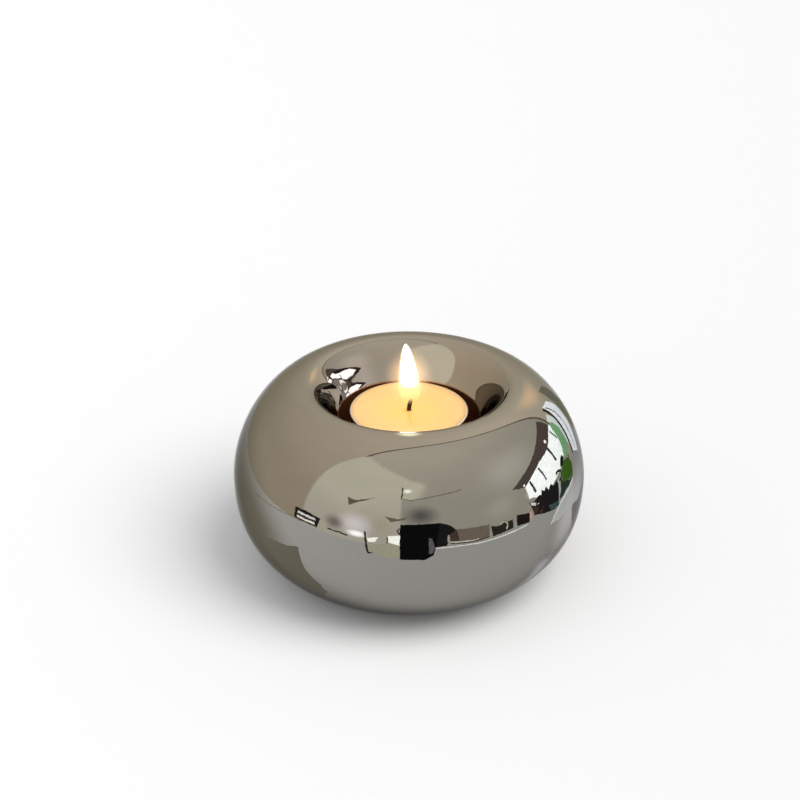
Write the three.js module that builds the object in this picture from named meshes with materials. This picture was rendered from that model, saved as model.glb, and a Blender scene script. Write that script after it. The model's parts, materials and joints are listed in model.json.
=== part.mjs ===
// A round, mirror-silvered ceramic tealight holder with a tealight in its well.
// All sizes are in millimetres and +Z is up. The origin is on the surface that the holder stands on,
// under the middle of the ball.
// The holder is one hollow casting, turned about Z, with a drain hole in its foot and four felt pads
// under it. The casting is drawn as three solids: the ball below its waist, the ball above it, and the
// bowl with the well that hangs inside. They meet at the waist and under the crest of the lip.
// The tealight is an aluminium cup that holds a wax puck, a wick and the wick's metal base.

import * as THREE from "three";

// The ball, measured from the underside of its foot
const BALL_RADIUS = 57; // at the waist, which is the widest place
const BODY_HEIGHT = 64; // up to the crest of the lip
const WAIST_HEIGHT = 32;
const SHOULDER_POWER = 1.8; // 2 is an ellipse, and less is flatter
const BELLY_POWER = 2.4; // more than 2 is fuller than an ellipse
const WALL = 3.5; // the same all over, as slip leaves it in a mould

// The bowl, from the crest of the lip down to the edge of the well
const BOWL_WIDTH = 10.9; // from the well's wall out to the crest
const BOWL_DEPTH = 11.3;
const BOWL_SLOPE = 48; // degrees from level, where the bowl ends at the well
const BOWL_BEND = 4.6; // how far each end of the bowl's curve keeps to its own direction
const UNDER_BEND = 1.9; // the same for the bowl's underside, which bends tighter

// The well
const WELL_CLEARANCE = 3.6; // all round the rim of the cup, room for a fingertip's nudge
const RIM_PROUD = 1.3; // how far the rim of the cup stands above the edge of the well
const EDGE_ROUND = 1;
const WELL_FILLET = 2;

// The foot
const FOOT_RADIUS = 22;
const RECESS_RADIUS = 13;
const RECESS_DEPTH = 1.5;
const DRAIN_RADIUS = 9;

// The felt pads under the foot
const PAD_RADIUS = 4;
const PAD_THICKNESS = 1;
const PAD_CHAMFER = 0.2;
const PAD_CIRCLE_RADIUS = 17.5;
const PAD_NAMES = ["right", "back", "left", "front"]; // a quarter turn apart, from +X round by +Y

// The tealight's cup
const CUP_RIM_RADIUS = 19;
const CUP_RIM_WIDTH = 0.8; // how far the rolled rim stands out from the wall
const CUP_RIM_HEIGHT = 0.7;
const CUP_HEIGHT = 15;
const CUP_TAPER = 0.5; // how much smaller the base is than the wall's top
const CUP_CORNER = 1.2;
const CUP_SHEET = 0.4;

// The wax puck
const WAX_GAP = 0.1; // to the cup's wall, and to the metal and the wick set in the wax
const WAX_BELOW_RIM = 0.3;
const WAX_DISH_RADIUS = 15;
const WAX_DISH_DEPTH = 0.4; // the melted pool round the wick

// The wick and its metal base
const WICK_RADIUS = 0.75;
const WICK_SHOWN = 4.3; // above the pool
const WICK_LEAN = 0.7; // how far the burnt tip leans towards +X
const BASE_RADIUS = 7.5;
const BASE_SHEET = 0.3;
const NECK_HEIGHT = 3;
const NECK_SHEET = 0.35;
const NECK_GAP = 0.05; // between the neck and the wick that it grips

// How finely round shapes are drawn
const TURN_STEPS = 48;
const PAD_STEPS = 24;
const SWEEP_STEPS = 9;
const BOWL_STEPS = 9;
const FILLET_STEPS = 3;
const WICK_SIDES = 10;
const WICK_STEPS = 8;

// Places that follow from the sizes above, measured from the underside of the ceramic foot
const wellRadius = CUP_RIM_RADIUS + WELL_CLEARANCE;
const crestRadius = wellRadius + BOWL_WIDTH;
const wellEdgeHeight = BODY_HEIGHT - BOWL_DEPTH;
const wellFloorHeight = wellEdgeHeight - (CUP_HEIGHT - RIM_PROUD);
const bowlSlope = THREE.MathUtils.degToRad(BOWL_SLOPE);
// the edge of the well is rounded from the bowl's slope to the upright wall
const bowlEndRadius = wellRadius + EDGE_ROUND * (1 - Math.sin(bowlSlope));

// Places in the tealight, measured from the underside of its cup
const cupWallRadius = CUP_RIM_RADIUS - CUP_RIM_WIDTH;
const cupBaseRadius = cupWallRadius - CUP_TAPER;
const waxHeight = CUP_HEIGHT - WAX_BELOW_RIM;
const poolHeight = waxHeight - WAX_DISH_DEPTH;
const boreRadius = WICK_RADIUS + NECK_GAP;
const neckRadius = boreRadius + NECK_SHEET;
const neckTop = CUP_SHEET + BASE_SHEET + NECK_HEIGHT;

const silverGlaze = new THREE.MeshStandardMaterial({ color: 0xb9b2a6, roughness: 0.06, metalness: 1 });
const greyFelt = new THREE.MeshStandardMaterial({ color: 0x4a4844, roughness: 0.95, metalness: 0 });
const aluminium = new THREE.MeshStandardMaterial({ color: 0xc9cacb, roughness: 0.35, metalness: 1 });
const creamWax = new THREE.MeshStandardMaterial({ color: 0xf3dfae, roughness: 0.4, metalness: 0 });
const burntCotton = new THREE.MeshStandardMaterial({ color: 0x3a2412, roughness: 0.9, metalness: 0 });
const tinnedSteel = new THREE.MeshStandardMaterial({ color: 0xaaa9a4, roughness: 0.3, metalness: 1 });

// One quarter of a superellipse about (r, z), from angle start to angle end in radians.
// Angle 0 is on its outer side and a quarter turn is on its top, and power 2 makes an ellipse.
function sweep({ r, z, reach, rise, start, end, steps, power = 2 }) {
  const points = [];
  for (let i = 0; i <= steps; i += 1) {
    const angle = start + ((end - start) * i) / steps;
    const across = Math.sign(Math.cos(angle)) * Math.abs(Math.cos(angle)) ** (2 / power);
    const up = Math.sign(Math.sin(angle)) * Math.abs(Math.sin(angle)) ** (2 / power);
    points.push(new THREE.Vector2(r + reach * across, z + rise * up));
  }
  return points;
}

// A solid turned about Z from an outline of (radius, height) points. The outline runs
// anticlockwise, so that the faces point out, and neighbours that fall together are drawn once.
function turned(outline, steps = TURN_STEPS) {
  const points = outline
    .map((p) => (p.x < 1e-6 ? new THREE.Vector2(0, p.y) : p))
    .filter((p, i, all) => i === 0 || p.distanceTo(all[i - 1]) > 1e-4);
  return new THREE.LatheGeometry(points, steps).rotateX(Math.PI / 2);
}

function named(name, geometry, material) {
  const mesh = new THREE.Mesh(geometry, material);
  mesh.name = name;
  return mesh;
}

const QUARTER = Math.PI / 2;

// Half of the ball's face below its waist, from the foot out and up, drawn in by an inset
function belly(inset) {
  return sweep({
    r: FOOT_RADIUS,
    z: WAIST_HEIGHT,
    reach: BALL_RADIUS - inset - FOOT_RADIUS,
    rise: WAIST_HEIGHT - inset,
    start: -QUARTER,
    end: 0,
    steps: SWEEP_STEPS,
    power: BELLY_POWER,
  });
}

// The same above the waist, up and in to the crest of the lip
function shoulder(inset) {
  return sweep({
    r: crestRadius,
    z: WAIST_HEIGHT,
    reach: BALL_RADIUS - inset - crestRadius,
    rise: BODY_HEIGHT - inset - WAIST_HEIGHT,
    start: 0,
    end: QUARTER,
    steps: SWEEP_STEPS,
    power: SHOULDER_POWER,
  });
}

// A smooth curve that leaves the crest level and comes down to its end at the bowl's slope
function bowlCurve(crest, end, bend) {
  const slopeUp = new THREE.Vector2(Math.cos(bowlSlope), Math.sin(bowlSlope));
  const curve = new THREE.CubicBezierCurve(
    crest,
    new THREE.Vector2(crest.x - bend, crest.y),
    end.clone().addScaledVector(slopeUp, bend),
    end,
  );
  return curve.getPoints(BOWL_STEPS);
}

// The outline goes up the outer face from the drain hole, across the waist, and back down the hollow
function ballLower() {
  const recessWall = RECESS_RADIUS - RECESS_DEPTH;
  const outline = [
    new THREE.Vector2(DRAIN_RADIUS, RECESS_DEPTH),
    new THREE.Vector2(recessWall, RECESS_DEPTH),
    new THREE.Vector2(RECESS_RADIUS, 0),
    ...belly(0),
    ...belly(WALL).reverse(),
    new THREE.Vector2(RECESS_RADIUS, WALL),
    new THREE.Vector2(recessWall, WALL + RECESS_DEPTH),
    new THREE.Vector2(DRAIN_RADIUS, WALL + RECESS_DEPTH),
    new THREE.Vector2(DRAIN_RADIUS, RECESS_DEPTH),
  ];
  return named("ball_lower", turned(outline), silverGlaze);
}

// The outline goes up the outer face from the waist to the crest, and back down the hollow
function ballUpper() {
  const outline = [
    ...shoulder(0),
    ...shoulder(WALL).reverse(),
    new THREE.Vector2(BALL_RADIUS, WAIST_HEIGHT),
  ];
  return named("ball_upper", turned(outline), silverGlaze);
}

// The outline goes out along the underside, one wall below the face that shows, and back from the
// crest of the lip down the bowl and the well. It starts and ends on the axis.
function bowlAndWell() {
  const bowlEnd = new THREE.Vector2(bowlEndRadius, wellEdgeHeight);
  // the sloping underside is cut off by the outside of the well's wall
  const underEndRadius = wellRadius + WALL;
  const pastOffset = underEndRadius - bowlEndRadius - WALL * Math.sin(bowlSlope);
  const underEnd = new THREE.Vector2(
    underEndRadius,
    wellEdgeHeight - WALL * Math.cos(bowlSlope) + pastOffset * Math.tan(bowlSlope),
  );
  const crest = new THREE.Vector2(crestRadius, BODY_HEIGHT);
  const underCrest = new THREE.Vector2(crestRadius, BODY_HEIGHT - WALL);
  const outline = [
    new THREE.Vector2(0, wellFloorHeight - WALL),
    ...sweep({
      r: wellRadius - WELL_FILLET,
      z: wellFloorHeight + WELL_FILLET,
      reach: WELL_FILLET + WALL,
      rise: WELL_FILLET + WALL,
      start: -QUARTER,
      end: 0,
      steps: FILLET_STEPS,
    }),
    ...bowlCurve(underCrest, underEnd, UNDER_BEND).reverse(),
    ...bowlCurve(crest, bowlEnd, BOWL_BEND),
    ...sweep({
      r: wellRadius + EDGE_ROUND,
      z: wellEdgeHeight - EDGE_ROUND * Math.cos(bowlSlope),
      reach: EDGE_ROUND,
      rise: EDGE_ROUND,
      start: QUARTER + bowlSlope,
      end: 2 * QUARTER,
      steps: FILLET_STEPS,
    }),
    ...sweep({
      r: wellRadius - WELL_FILLET,
      z: wellFloorHeight + WELL_FILLET,
      reach: WELL_FILLET,
      rise: WELL_FILLET,
      start: 0,
      end: -QUARTER,
      steps: FILLET_STEPS,
    }),
    new THREE.Vector2(0, wellFloorHeight),
  ];
  return named("bowl_and_well", turned(outline), silverGlaze);
}

// A felt disc, with its glued face up against the foot
function footPad(name, angle) {
  const outline = [
    new THREE.Vector2(0, 0),
    new THREE.Vector2(PAD_RADIUS - PAD_CHAMFER, 0),
    new THREE.Vector2(PAD_RADIUS, PAD_CHAMFER),
    new THREE.Vector2(PAD_RADIUS, PAD_THICKNESS),
    new THREE.Vector2(0, PAD_THICKNESS),
  ];
  const pad = named(`foot_pad_${name}`, turned(outline, PAD_STEPS), greyFelt);
  pad.position.set(PAD_CIRCLE_RADIUS * Math.cos(angle), PAD_CIRCLE_RADIUS * Math.sin(angle), 0);
  return pad;
}

// A drawn aluminium cup, with a corner round its base and a rim rolled outwards
function tealightCup() {
  const inside = CUP_CORNER - CUP_SHEET;
  const outline = [
    new THREE.Vector2(0, 0),
    ...sweep({
      r: cupBaseRadius - CUP_CORNER,
      z: CUP_CORNER,
      reach: CUP_CORNER,
      rise: CUP_CORNER,
      start: -QUARTER,
      end: 0,
      steps: FILLET_STEPS,
    }),
    new THREE.Vector2(cupWallRadius, CUP_HEIGHT - CUP_RIM_HEIGHT),
    new THREE.Vector2(CUP_RIM_RADIUS, CUP_HEIGHT - CUP_RIM_HEIGHT),
    new THREE.Vector2(CUP_RIM_RADIUS, CUP_HEIGHT),
    new THREE.Vector2(cupWallRadius - CUP_SHEET, CUP_HEIGHT),
    ...sweep({
      r: cupBaseRadius - CUP_CORNER,
      z: CUP_CORNER,
      reach: inside,
      rise: inside,
      start: 0,
      end: -QUARTER,
      steps: FILLET_STEPS,
    }),
    new THREE.Vector2(0, CUP_SHEET),
  ];
  return named("tealight_cup", turned(outline), aluminium);
}

// The puck fills the cup. Its underside has a pocket for the wick's base and neck, and the wick
// passes up through it to the pool.
function wax() {
  const corner = CUP_CORNER - CUP_SHEET;
  const wallRadius = cupWallRadius - CUP_SHEET - WAX_GAP;
  const baseRadius = cupBaseRadius - CUP_SHEET - WAX_GAP;
  // the cup's wall leans out evenly from its corner to its top
  const topRadius = wallRadius - (CUP_TAPER * WAX_BELOW_RIM) / (CUP_HEIGHT - CUP_CORNER);
  const wickHole = boreRadius + WAX_GAP;
  const outline = [
    new THREE.Vector2(wickHole, neckTop + WAX_GAP),
    new THREE.Vector2(neckRadius + WAX_GAP, neckTop + WAX_GAP),
    new THREE.Vector2(neckRadius + WAX_GAP, CUP_SHEET + BASE_SHEET + WAX_GAP),
    new THREE.Vector2(BASE_RADIUS + WAX_GAP, CUP_SHEET + BASE_SHEET + WAX_GAP),
    new THREE.Vector2(BASE_RADIUS + WAX_GAP, CUP_SHEET),
    new THREE.Vector2(baseRadius - corner, CUP_SHEET),
    new THREE.Vector2(baseRadius, CUP_SHEET + corner),
    new THREE.Vector2(topRadius, waxHeight),
    new THREE.Vector2(WAX_DISH_RADIUS, waxHeight),
    new THREE.Vector2((WAX_DISH_RADIUS + wickHole) / 2, poolHeight),
    new THREE.Vector2(wickHole, poolHeight),
    new THREE.Vector2(wickHole, neckTop + WAX_GAP),
  ];
  return named("wax", turned(outline), creamWax);
}

// A stamped steel disc with a neck that grips the wick
function wickBase() {
  const sheetTop = CUP_SHEET + BASE_SHEET;
  const outline = [
    new THREE.Vector2(boreRadius, CUP_SHEET),
    new THREE.Vector2(BASE_RADIUS, CUP_SHEET),
    new THREE.Vector2(BASE_RADIUS, sheetTop),
    new THREE.Vector2(neckRadius, sheetTop),
    new THREE.Vector2(neckRadius, neckTop),
    new THREE.Vector2(boreRadius, neckTop),
    new THREE.Vector2(boreRadius, CUP_SHEET),
  ];
  return named("wick_base", turned(outline), tinnedSteel);
}

// The wick stands straight in the wax and curls over a little above the pool
function wick() {
  const tip = poolHeight + WICK_SHOWN;
  const path = new THREE.CurvePath();
  const foot = new THREE.Vector3(0, 0, CUP_SHEET);
  const pool = new THREE.Vector3(0, 0, poolHeight);
  path.add(new THREE.LineCurve3(foot, pool));
  path.add(
    new THREE.QuadraticBezierCurve3(
      pool,
      new THREE.Vector3(0, 0, poolHeight + WICK_SHOWN / 2),
      new THREE.Vector3(WICK_LEAN, 0, tip),
    ),
  );
  const section = new THREE.Shape();
  for (let i = 0; i < WICK_SIDES; i += 1) {
    const angle = (2 * Math.PI * i) / WICK_SIDES;
    const corner = [WICK_RADIUS * Math.cos(angle), WICK_RADIUS * Math.sin(angle)];
    if (i === 0) section.moveTo(...corner);
    else section.lineTo(...corner);
  }
  section.closePath();
  const geometry = new THREE.ExtrudeGeometry(section, { steps: WICK_STEPS, extrudePath: path });
  return named("wick", geometry, burntCotton);
}

// The four pads stand on the floor and the casting stands on them
function holder() {
  const group = new THREE.Group();
  PAD_NAMES.forEach((name, i) => group.add(footPad(name, i * QUARTER)));
  const casting = new THREE.Group();
  casting.add(ballLower(), ballUpper(), bowlAndWell());
  casting.position.z = PAD_THICKNESS;
  group.add(casting);
  return group;
}

// The tealight stands on the floor of the well
function tealight() {
  const group = new THREE.Group();
  group.add(tealightCup(), wax(), wickBase(), wick());
  group.position.z = PAD_THICKNESS + wellFloorHeight;
  return group;
}

const tealightHolder = new THREE.Group();
tealightHolder.add(holder(), tealight());

export default tealightHolder;
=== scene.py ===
import json
import math

import bmesh
import bpy
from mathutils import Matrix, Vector, noise

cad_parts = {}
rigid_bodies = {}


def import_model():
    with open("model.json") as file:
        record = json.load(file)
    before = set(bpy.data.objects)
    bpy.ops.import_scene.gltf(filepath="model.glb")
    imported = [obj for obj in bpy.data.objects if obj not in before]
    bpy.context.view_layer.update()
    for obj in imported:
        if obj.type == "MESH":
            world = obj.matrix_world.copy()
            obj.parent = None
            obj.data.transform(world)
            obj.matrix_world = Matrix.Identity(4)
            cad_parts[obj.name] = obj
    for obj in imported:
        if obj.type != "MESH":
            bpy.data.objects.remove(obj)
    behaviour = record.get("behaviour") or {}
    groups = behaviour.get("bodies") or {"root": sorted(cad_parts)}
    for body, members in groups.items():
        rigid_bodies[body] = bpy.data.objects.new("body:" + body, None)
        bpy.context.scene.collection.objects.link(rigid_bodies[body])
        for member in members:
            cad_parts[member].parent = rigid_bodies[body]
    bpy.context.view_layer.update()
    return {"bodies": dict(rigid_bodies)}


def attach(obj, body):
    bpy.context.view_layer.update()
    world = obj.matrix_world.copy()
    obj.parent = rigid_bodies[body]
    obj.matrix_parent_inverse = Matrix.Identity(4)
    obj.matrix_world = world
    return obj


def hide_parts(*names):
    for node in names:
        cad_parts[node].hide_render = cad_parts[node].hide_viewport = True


# A mirror-silvered ceramic ball with a lit tealight in its well. Lengths are in millimetres and are
# turned into metres where a mesh is made. Heights on the casting are measured from the ceramic foot,
# and heights on the tealight from the underside of its cup.

MM = 0.001
QUARTER = math.pi / 2

# The casting
BALL_RADIUS = 57
BODY_HEIGHT = 64
WAIST_HEIGHT = 32
SHOULDER_POWER = 1.8
BELLY_POWER = 2.4
WALL = 3.5
BOWL_WIDTH = 10.9
BOWL_DEPTH = 11.3
BOWL_SLOPE = math.radians(48)
BOWL_BEND = 4.6
UNDER_BEND = 1.9
WELL_RADIUS = 22.6
EDGE_ROUND = 1
WELL_FILLET = 2
FOOT_RADIUS = 22
RECESS_RADIUS = 13
RECESS_DEPTH = 1.5
DRAIN_RADIUS = 9
SWELL = 0.03  # how far the glaze wanders from the turned shape
SWELLS_PER_MM = 0.06

# The felt pads
PAD_RADIUS = 4
PAD_THICKNESS = 1
PAD_ROUND = 0.3
PAD_RAGGED = 0.06
PAD_CIRCLE_RADIUS = 17.5
PAD_NAMES = ["right", "back", "left", "front"]

# The tealight
RIM_RADIUS = 19
RIM_WIDTH = 0.8
RIM_HEIGHT = 0.7
RIM_PROUD = 1.3
CUP_HEIGHT = 15
CUP_TAPER = 0.5
CUP_CORNER = 1.2
CUP_SHEET = 0.4
CUP_RAISED = 0.25  # how far the middle of its underside is pressed in
CUP_RAISED_RADIUS = 5
FLUTES = 60
FLUTE_DEPTH = 0.08
FLUTES_BELOW_RIM = 1.5
FLUTES_FADE = 2
WAX_GAP = 0.1
WAX_BELOW_RIM = 0.3
RIM_SHOWN = 0.45  # molten wax has crept over the rest of the rim
CREPT_ROUND = 0.1
MENISCUS_WIDTH = 0.8
MENISCUS_HEIGHT = 0.2
DISH_RADIUS = 15
DISH_DEPTH = 0.4
DISH_SOFT = (DISH_RADIUS + 1, DISH_RADIUS - 9)  # where the wax starts to dip, and where it is flat again
WICK_CLIMB = 0.3  # how far molten wax climbs the wick
WICK_RADIUS = 0.75
WICK_SHOWN = 4.3
WICK_LEAN = 0.7
WICK_STRANDS = 3
STRAND_DEPTH = 0.14
WICK_TWIST = 5  # turns over its whole length
WICK_TAPER = 0.35
WICK_TAPER_FROM = 0.94
BASE_RADIUS = 7.5
BASE_SHEET = 0.3
BASE_RIBS = 8
BASE_RIB_HEIGHT = 0.03
NECK_HEIGHT = 3
NECK_SHEET = 0.35
NECK_GAP = 0.05

# The flame, measured from the pool
FLAME_START = 3.1
FLAME_HEIGHT = 19.5
FLAME_RADIUS = 3.5
FLAME_TIP = (-1.1, 3.2)  # where its tip is, to the right of the wick and behind it
FLAME_LEAN = 1.6  # a higher power leans later
FLAME_BELLY = 0.6  # a lower power has its belly lower down
FLAME_FULLNESS = 0.56
FLAME_ENDS = 0.004  # the share of its height left off at each end, where it would be a point
# The painted halo round the flame: how many times the flame's radius it reaches, and its brightness
GLOW_SPREAD = 2.6
GLOW_STRENGTH = 110.0
LIGHT_ABOVE_POOL = 11

# Places that follow from the sizes above
crest_radius = WELL_RADIUS + BOWL_WIDTH
edge_height = BODY_HEIGHT - BOWL_DEPTH
floor_height = edge_height - CUP_HEIGHT + RIM_PROUD
bowl_end_radius = WELL_RADIUS + EDGE_ROUND * (1 - math.sin(BOWL_SLOPE))
cup_wall = RIM_RADIUS - RIM_WIDTH
cup_base = cup_wall - CUP_TAPER
wax_height = CUP_HEIGHT - WAX_BELOW_RIM
pool_height = wax_height - DISH_DEPTH
bore = WICK_RADIUS + NECK_GAP
neck = bore + NECK_SHEET
neck_top = CUP_SHEET + BASE_SHEET + NECK_HEIGHT
tealight_lift = PAD_THICKNESS + floor_height
pool_level = tealight_lift + pool_height


# Colours


def srgb(red, green, blue):
    """A screen colour, 0 to 255, as the linear colour that a shader takes."""
    parts = [value / 255 for value in (red, green, blue)]
    return tuple(p / 12.92 if p <= 0.04045 else ((p + 0.055) / 1.055) ** 2.4 for p in parts)


SILVER = (0.3, 0.293, 0.268)
# Painted light for the bowl: brighter and warmer than SILVER, for the candle's glow on it
SILVER_BOWL_GLOW = (0.355, 0.32, 0.28)
# Painted shade for the inside of the well
SILVER_WELL_SHADE = (0.3, 0.13, 0.05)
SILVER_SPECK = (0.2, 0.18, 0.15)
EDGE_TINT = (0.5, 0.5, 0.5)  # the lustre is a thin film, which stays as dark at a slant as face on


def seen_in_silver(red, green, blue):
    """The light that the silver shows as this screen colour."""
    return tuple(light / metal for light, metal in zip(srgb(red, green, blue), SILVER))


# Node trees


class Tree:
    """Builds a shader out of calls. A value is a number, a colour or another node's output."""

    def __init__(self, owner):
        owner.use_nodes = True
        self.tree = owner.node_tree
        self.tree.nodes.clear()

    def put(self, socket, value):
        if isinstance(value, bpy.types.NodeSocket):
            self.tree.links.new(value, socket)
        elif isinstance(value, tuple) and socket.type == "RGBA":
            socket.default_value = (*value, 1)
        else:
            socket.default_value = value

    def node(self, kind, settings=None, **values):
        made = self.tree.nodes.new("ShaderNode" + kind)
        for key, setting in (settings or {}).items():
            setattr(made, key, setting)
        for key, value in values.items():
            self.put(made.inputs[key.replace("_", " ")], value)
        return made

    def math(self, operation, *values):
        made = self.node("Math", {"operation": operation})
        for socket, value in zip(made.inputs, values):
            self.put(socket, value)
        return made.outputs[0]

    def split(self, vector):
        return self.node("SeparateXYZ", Vector=vector).outputs[:3]

    def rise(self, value, start, end):
        """0 up to start and 1 from end on, with a smooth step between."""
        step = {"interpolation_type": "SMOOTHSTEP"}
        made = self.node("MapRange", step, Value=value, From_Min=start, From_Max=end)
        return made.outputs["Result"]

    def fall(self, value, start, end):
        """1 up to start and 0 from end on, with a smooth step between."""
        return self.math("SUBTRACT", 1.0, self.rise(value, start, end))

    def between(self, value, low, high, soft):
        """1 from low to high and 0 outside, with soft edges."""
        up = self.rise(value, low - soft, low + soft)
        return self.math("MULTIPLY", up, self.fall(value, high - soft, high + soft))

    def all_of(self, first, *others):
        for other in others:
            first = self.math("MULTIPLY", first, other)
        return first

    def mix(self, amount, below, above):
        """A colour that goes from below to above as amount goes from 0 to 1."""
        made = self.node("Mix", {"data_type": "RGBA"})
        self.put(made.inputs["Factor"], amount)
        self.put(made.inputs[6], below)
        self.put(made.inputs[7], above)
        return made.outputs[2]

    def blend(self, amount, below, above):
        """A number that goes from below to above as amount goes from 0 to 1."""
        made = self.node("MapRange", Value=amount, To_Min=below, To_Max=above)
        return made.outputs["Result"]

    def noise(self, vector, scale, detail=2.0):
        made = self.node("TexNoise", Vector=vector, Scale=scale, Detail=detail)
        return made.outputs["Fac"]

    def place(self):
        """The point in the object's own frame, in millimetres."""
        coordinates = self.node("TexCoord").outputs["Object"]
        made = self.node("VectorMath", {"operation": "SCALE"}, Vector=coordinates, Scale=1 / MM)
        return made.outputs[0]

    def radius(self, x, y):
        squares = [self.math("MULTIPLY", side, side) for side in (x, y)]
        return self.math("SQRT", self.math("ADD", *squares))

    def bump(self, height, distance):
        return self.node("Bump", Height=height, Distance=distance * MM, Strength=1.0).outputs[0]

    def glow(self, colour, strength=1.0):
        return self.node("Emission", Color=colour, Strength=strength).outputs[0]

    def clear(self):
        return self.node("BsdfTransparent").outputs[0]

    def fade(self, amount, below, above):
        """A shader that goes from below to above as amount goes from 0 to 1."""
        made = self.node("MixShader", Fac=amount)
        self.put(made.inputs[1], below)
        self.put(made.inputs[2], above)
        return made.outputs[0]

    def finish(self, kind, shader):
        output = self.node("Output" + kind)
        self.put(output.inputs["Surface"], shader)

    def principled(self, **values):
        self.finish("Material", self.node("BsdfPrincipled", **values).outputs[0])


def material(name, paint):
    made = bpy.data.materials.new(name)
    paint(Tree(made))
    return made


# Materials


def silver_glaze(t):
    """Mirror-bright lustre with a few specks and faint wipe marks, and bare clay where the foot was wiped
    clean before firing. The bowl's lustre is brighter and warmer, a painted glow of the candle, and the
    inside of the well is a dull dark brown, painted shade for the narrow gap round the cup."""
    place = t.place()
    x, y, z = t.split(place)
    radius = t.radius(x, y)
    glaze_line = t.math("ADD", radius, t.noise(place, 0.35))
    bare = t.all_of(
        t.fall(glaze_line, FOOT_RADIUS + 0.6, FOOT_RADIUS + 0.9),
        t.fall(z, 5.0, 6.0),
    )
    # Painted shade: the inside of the well turns a dull dark brown, less metallic and rougher, for the shade
    # in the narrow gap round the cup.
    painted_well_shade = t.all_of(
        t.fall(radius, WELL_RADIUS, WELL_RADIUS + 0.5),
        t.rise(z, floor_height - 1, floor_height),
    )
    # Painted light: the lustre in the bowl is brighter and warmer, for the candle's glow on it.
    painted_bowl_glow = t.all_of(
        t.fall(radius, crest_radius - 6, crest_radius - 1),
        t.rise(z, floor_height - 1, floor_height),
    )
    specks = t.node("TexVoronoi", Vector=place, Scale=0.22).outputs["Distance"]
    speck = t.math("LESS_THAN", specks, 0.035)
    clouds = t.noise(place, 0.05)
    lustre = t.mix(clouds, tuple(c * 0.97 for c in SILVER), tuple(c * 1.03 for c in SILVER))
    lustre = t.mix(painted_bowl_glow, lustre, SILVER_BOWL_GLOW)
    lustre = t.mix(speck, lustre, SILVER_SPECK)
    lustre = t.mix(painted_well_shade, lustre, SILVER_WELL_SHADE)
    wiped = t.node("VectorMath", {"operation": "MULTIPLY"}, Vector=place)
    t.put(wiped.inputs[1], (0.04, 0.04, 0.5))
    smears = t.rise(t.noise(wiped.outputs[0], 1.0, 4.0), 0.45, 0.75)
    polish = t.blend(smears, 0.025, 0.055)
    polish = t.math("MAXIMUM", polish, t.blend(painted_well_shade, 0.0, 0.25))
    t.principled(
        Base_Color=t.mix(bare, lustre, srgb(201, 190, 172)),
        Metallic=t.math("SUBTRACT", 1.0, t.math("MAXIMUM", bare, t.blend(painted_well_shade, 0.0, 0.15))),
        Specular_Tint=EDGE_TINT,
        Roughness=t.math("MAXIMUM", polish, t.blend(bare, 0.0, 0.8)),
        Normal=t.bump(t.noise(place, 0.3, 3.0), 0.006),
    )


def bare_clay(t):
    place = t.place()
    grain = t.noise(place, 3.0, 6.0)
    t.principled(
        Base_Color=t.mix(grain, srgb(188, 176, 158), srgb(214, 204, 188)),
        Roughness=0.85,
        Normal=t.bump(grain, 0.08),
    )


def felt(t):
    place = t.place()
    fibres = t.noise(place, 6.0, 8.0)
    t.principled(
        Base_Color=t.mix(fibres, srgb(48, 46, 43), srgb(96, 92, 86)),
        Roughness=0.95,
        Sheen_Weight=0.4,
        Normal=t.bump(fibres, 0.12),
    )


def foil(t):
    """Drawn aluminium, with fine lines round it."""
    place = t.place()
    drawn = t.node("VectorMath", {"operation": "MULTIPLY"}, Vector=place)
    t.put(drawn.inputs[1], (0.1, 0.1, 6.0))
    lines = t.noise(drawn.outputs[0], 1.0, 3.0)
    t.principled(
        Base_Color=(0.8, 0.8, 0.79),
        Metallic=1.0,
        Roughness=t.blend(lines, 0.22, 0.42),
        Normal=t.bump(lines, 0.02),
    )


def lit_wax(t):
    """Paraffin that the flame shines through, clear and wet in the pool round the wick. The flame's light
    in it is painted: a warm emission, stronger towards the top and a little weaker towards the rim.
    """
    place = t.place()
    x, y, z = t.split(place)
    radius = t.radius(x, y)
    mottle = t.noise(place, 0.25, 3.0)
    outward = t.rise(t.math("ADD", radius, t.blend(mottle, -2.0, 2.0)), 2.0, 18.5)
    pool = t.fall(radius, DISH_RADIUS - 8, DISH_RADIUS)
    depth = t.rise(z, tealight_lift + 2, pool_level)
    t.principled(
        Base_Color=t.mix(outward, srgb(230, 182, 106), srgb(236, 189, 126)),
        Roughness=t.blend(pool, 0.42, 0.18),
        Subsurface_Weight=0.4,
        Subsurface_Radius=(0.006, 0.0035, 0.0015),
        Subsurface_Scale=1.0,
        # Painted light: an emission that stands in for the flame's glow through the wax.
        Emission_Color=t.mix(outward, (1.0, 0.55, 0.1), (1.0, 0.55, 0.17)),
        Emission_Strength=t.math("MULTIPLY", depth, t.blend(outward, 0.24, 0.2)),
        Normal=t.bump(mottle, 0.05),
    )


def burnt_wick(t):
    """Cotton soaked in wax at its foot, charred above, with an ember at its tip."""
    place = t.place()
    z = t.split(place)[2]
    fibres = t.noise(place, 4.0, 5.0)
    char = t.rise(z, pool_level - 0.2, pool_level + 0.8)
    ember = t.rise(z, pool_level + WICK_SHOWN - 0.8, pool_level + WICK_SHOWN)
    burnt = t.mix(fibres, srgb(30, 13, 5), srgb(74, 38, 17))
    t.principled(
        Base_Color=t.mix(char, srgb(226, 206, 160), burnt),
        Roughness=0.9,
        Emission_Color=(1.0, 0.22, 0.04),
        Emission_Strength=t.math("MULTIPLY", ember, 0.6),
        Normal=t.bump(fibres, 0.1),
    )


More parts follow.
